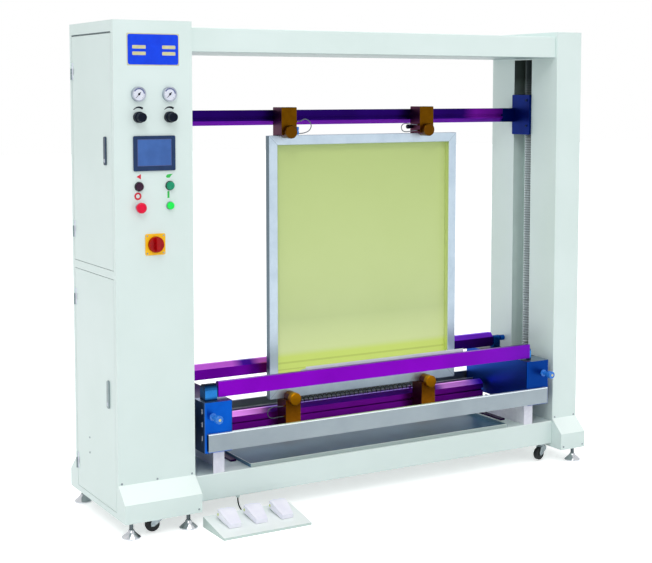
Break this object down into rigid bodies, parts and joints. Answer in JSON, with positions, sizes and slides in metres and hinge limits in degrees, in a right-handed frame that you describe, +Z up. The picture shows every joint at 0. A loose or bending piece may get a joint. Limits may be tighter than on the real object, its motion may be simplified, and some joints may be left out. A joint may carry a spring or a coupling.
{
  "type": "screen emulsion coater",
  "caption": "Free-standing coater: a framed mesh hangs between two columns while a lifting carriage draws front and rear emulsion troughs up it.",
  "frame": {"origin": "on the floor, under the middle of the machine's outline with its pedal board", "axes": "+X along the machine to the side away from the control cabinet, +Y to the back, +Z up"},
  "size_m": [2.249, 0.782, 1.95],
  "materials": {
    "white_paint": "pale mint-white powder coat, satin",
    "screen_aluminium": "brushed tube with a blue-grey cast",
    "mesh": "tight yellow-green polyester mesh",
    "steel": "ground steel rails and plates",
    "belt": "pale polyurethane toothed belt",
    "motor_grey": "dark grey enamel",
    "electrics": "grey moulded units on a zinc plate",
    "gauge_black": "black gauge case, satin",
    "panel_plastic": "charcoal moulded bezel",
    "chrome": "polished plating",
    "fork_zinc": "zinc plated pressed steel",
    "wheel_black": "black moulded tyre",
    "board_white": "pale mint-white powder coat",
    "treadle": "pale lavender moulding",
    "cable_black": "black cable jacket",
    "hose_grey": "grey polyurethane air hose",
    "coil_dark": "dark polyurethane spiral hose",
    "violet_beam": "indigo and violet anodised extrusion",
    "blue_cheek": "blue lacquered casting with a bare top",
    "channel": "brushed grey sheet",
    "gold_clamp": "golden brown anodised",
    "purple_bar": "bright purple anodised bar",
    "trough_steel": "bright rolled sheet",
    "pivot_blue": "blue and black anodised block",
    "knob_blue": "light blue moulding",
    "regulator_black": "black moulding",
    "button_red": "dark red moulding",
    "button_teal": "teal moulding",
    "stop_red": "red moulding",
    "start_green": "light green moulding",
    "switch_red": "red moulding",
    "handle_dark": "dark enamel die casting",
    "pan_slate": "slate-blue coated tray"
  },
  "bodies": {
    "frame": {"left_cabinet": "white_paint", "right_column": "white_paint", "cross_beam": "white_paint", "base_deck": "white_paint", "drip_pan": "pan_slate", "lower_beam": "violet_beam", "rest_brackets": "white_paint", "screen_frame": "screen_aluminium", "screen_mesh": "mesh", "guide_assemblies": "steel", "lift_belts": "belt", "gear_motor": "motor_grey", "electrical_panel": "electrics", "gauge_cases": "gauge_black", "touch_panel": "panel_plastic", "levelling_feet": "chrome", "rear_caster_forks": "fork_zinc", "pedal_board": "board_white", "pedal_cable": "cable_black", "coiled_hose": "coil_dark"},
    "drive_shaft": {"drive_shaft": "steel"},
    "upper_clamp_beam": {"upper_beam": "violet_beam", "upper_carriages": "pivot_blue"},
    "upper_left_clamp": {"clamp_upper_left": "gold_clamp", "hose_upper_left": "hose_grey"},
    "upper_right_clamp": {"clamp_upper_right": "gold_clamp", "hose_upper_right": "hose_grey"},
    "lower_left_clamp": {"clamp_lower_left": "gold_clamp", "hose_lower_left": "hose_grey"},
    "lower_right_clamp": {"clamp_lower_right": "gold_clamp"},
    "coater": {"end_cheeks": "blue_cheek", "drip_channels": "channel"},
    "front_slide": {"front_pivots": "pivot_blue"},
    "front_coating_bar": {"front_bar": "purple_bar", "front_trough": "trough_steel"},
    "rear_slide": {"rear_pivots": "pivot_blue"},
    "rear_coating_bar": {"rear_bar": "purple_bar", "rear_trough": "trough_steel"},
    "knob_left": {"knob_left": "knob_blue"},
    "knob_right": {"knob_right": "knob_blue"},
    "regulator_left": {"regulator_left": "regulator_black"},
    "regulator_right": {"regulator_right": "regulator_black"},
    "up_button": {"up_button": "button_red"},
    "down_button": {"down_button": "button_teal"},
    "stop_button": {"stop_button": "stop_red"},
    "start_button": {"start_button": "start_green"},
    "main_switch": {"main_switch": "switch_red"},
    "upper_door": {"upper_door": "white_paint"},
    "lower_door": {"lower_door": "white_paint"},
    "upper_handle": {"upper_handle": "handle_dark"},
    "lower_handle": {"lower_handle": "handle_dark"},
    "pedal_1": {"pedal_1": "treadle"},
    "pedal_2": {"pedal_2": "treadle"},
    "pedal_3": {"pedal_3": "treadle"},
    "caster_fork_left": {"caster_fork_left": "fork_zinc"},
    "caster_wheel_left": {"caster_wheel_left": "wheel_black"},
    "caster_fork_right": {"caster_fork_right": "fork_zinc"},
    "caster_wheel_right": {"caster_wheel_right": "wheel_black"},
    "rear_wheel_left": {"rear_wheel_left": "wheel_black"},
    "rear_wheel_right": {"rear_wheel_right": "wheel_black"}
  },
  "joints": [
    {"name": "coater_lift", "type": "slide", "parent": "frame", "child": "coater", "axis": [0, 0, 1], "range_m": [0, 0.88]},
    {"name": "drive_shaft_turn", "type": "hinge", "parent": "frame", "child": "drive_shaft", "pos_m": [0, 0.051, 0.132], "axis": [1, 0, 0], "range_deg": [0, 1576]},
    {"name": "upper_lift", "type": "slide", "parent": "frame", "child": "upper_clamp_beam", "axis": [0, 0, 1], "range_m": [0, 0.16]},
    {"name": "upper_left_clamp_slide", "type": "slide", "parent": "upper_clamp_beam", "child": "upper_left_clamp", "axis": [1, 0, 0], "range_m": [-0.25, 0.2]},
    {"name": "upper_right_clamp_slide", "type": "slide", "parent": "upper_clamp_beam", "child": "upper_right_clamp", "axis": [1, 0, 0], "range_m": [-0.2, 0.25]},
    {"name": "lower_left_clamp_slide", "type": "slide", "parent": "frame", "child": "lower_left_clamp", "axis": [1, 0, 0], "range_m": [-0.22, 0]},
    {"name": "lower_right_clamp_slide", "type": "slide", "parent": "frame", "child": "lower_right_clamp", "axis": [1, 0, 0], "range_m": [0, 0.22]},
    {"name": "front_press", "type": "slide", "parent": "coater", "child": "front_slide", "axis": [0, 1, 0], "range_m": [0, 0.172]},
    {"name": "front_tilt", "type": "hinge", "parent": "front_slide", "child": "front_coating_bar", "pos_m": [0.0865, -0.1085, 0.515], "axis": [-1, 0, 0], "range_deg": [0, 20]},
    {"name": "rear_press", "type": "slide", "parent": "coater", "child": "rear_slide", "axis": [0, -1, 0], "range_m": [0, 0.01]},
    {"name": "rear_tilt", "type": "hinge", "parent": "rear_slide", "child": "rear_coating_bar", "pos_m": [0.0865, 0.2135, 0.515], "axis": [1, 0, 0], "range_deg": [0, 20]},
    {"name": "knob_left_turn", "type": "hinge", "parent": "coater", "child": "knob_left", "pos_m": [-0.733, -0.19, 0.418], "axis": [0, 1, 0], "range_deg": [-720, 720]},
    {"name": "knob_right_turn", "type": "hinge", "parent": "coater", "child": "knob_right", "pos_m": [0.913, -0.19, 0.418], "axis": [0, 1, 0], "range_deg": [-720, 720]},
    {"name": "regulator_left_turn", "type": "hinge", "parent": "frame", "child": "regulator_left", "pos_m": [-1.024, -0.166, 1.589], "axis": [0, 1, 0], "range_deg": [-720, 720]},
    {"name": "regulator_right_turn", "type": "hinge", "parent": "frame", "child": "regulator_right", "pos_m": [-0.899, -0.166, 1.589], "axis": [0, 1, 0], "range_deg": [-720, 720]},
    {"name": "up_button_press", "type": "slide", "parent": "frame", "child": "up_button", "axis": [0, 1, 0], "range_m": [0, 0.004], "stiffness_N_per_m": 900, "springref_m": -0.002},
    {"name": "down_button_press", "type": "slide", "parent": "frame", "child": "down_button", "axis": [0, 1, 0], "range_m": [0, 0.004], "stiffness_N_per_m": 900, "springref_m": -0.002},
    {"name": "stop_button_press", "type": "slide", "parent": "frame", "child": "stop_button", "axis": [0, 1, 0], "range_m": [0, 0.004], "stiffness_N_per_m": 900, "springref_m": -0.002},
    {"name": "start_button_press", "type": "slide", "parent": "frame", "child": "start_button", "axis": [0, 1, 0], "range_m": [0, 0.004], "stiffness_N_per_m": 900, "springref_m": -0.002},
    {"name": "main_switch_turn", "type": "hinge", "parent": "frame", "child": "main_switch", "pos_m": [-0.9615, -0.166, 1.108], "axis": [0, 1, 0], "range_deg": [0, 90]},
    {"name": "upper_door_swing", "type": "hinge", "parent": "frame", "child": "upper_door", "pos_m": [-1.1245, 0.3025, 1.457], "axis": [0, 0, -1], "range_deg": [0, 110]},
    {"name": "lower_door_swing", "type": "hinge", "parent": "frame", "child": "lower_door", "pos_m": [-1.1245, 0.3025, 0.533], "axis": [0, 0, -1], "range_deg": [0, 110]},
    {"name": "upper_handle_turn", "type": "hinge", "parent": "upper_door", "child": "upper_handle", "pos_m": [-1.121, -0.059, 1.425], "axis": [-1, 0, 0], "range_deg": [0, 90]},
    {"name": "lower_handle_turn", "type": "hinge", "parent": "lower_door", "child": "lower_handle", "pos_m": [-1.121, -0.059, 0.494], "axis": [-1, 0, 0], "range_deg": [0, 90]},
    {"name": "pedal_1_press", "type": "hinge", "parent": "frame", "child": "pedal_1", "pos_m": [-0.72, -0.3315, 0.02306], "axis": [-1, 0, 0], "range_deg": [0, 5], "stiffness_Nm_per_rad": 9, "springref_deg": -6.88},
    {"name": "pedal_2_press", "type": "hinge", "parent": "frame", "child": "pedal_2", "pos_m": [-0.607, -0.3315, 0.02306], "axis": [-1, 0, 0], "range_deg": [0, 5], "stiffness_Nm_per_rad": 9, "springref_deg": -6.88},
    {"name": "pedal_3_press", "type": "hinge", "parent": "frame", "child": "pedal_3", "pos_m": [-0.494, -0.3315, 0.02306], "axis": [-1, 0, 0], "range_deg": [0, 5], "stiffness_Nm_per_rad": 9, "springref_deg": -6.88},
    {"name": "caster_left_swivel", "type": "hinge", "parent": "frame", "child": "caster_fork_left", "pos_m": [-0.971, -0.166, 0.066], "axis": [0, 0, 1], "continuous": true},
    {"name": "caster_left_roll", "type": "hinge", "parent": "caster_fork_left", "child": "caster_wheel_left", "pos_m": [-0.99267, -0.16218, 0.034], "axis": [-0.1736, -0.9848, 0], "continuous": true},
    {"name": "caster_right_swivel", "type": "hinge", "parent": "frame", "child": "caster_fork_right", "pos_m": [0.952, -0.112, 0.066], "axis": [0, 0, 1], "continuous": true},
    {"name": "caster_right_roll", "type": "hinge", "parent": "caster_fork_right", "child": "caster_wheel_right", "pos_m": [0.93048, -0.11657, 0.034], "axis": [0.2079, -0.9781, 0], "continuous": true},
    {"name": "rear_wheel_left_roll", "type": "hinge", "parent": "frame", "child": "rear_wheel_left", "pos_m": [-0.971, 0.29, 0.034], "axis": [1, 0, 0], "continuous": true},
    {"name": "rear_wheel_right_roll", "type": "hinge", "parent": "frame", "child": "rear_wheel_right", "pos_m": [0.952, 0.29, 0.034], "axis": [1, 0, 0], "continuous": true}
  ],
  "couplings": [
    {"joint": "drive_shaft_turn", "follows": "coater_lift", "rad_per_m": 31.25}
  ]
}
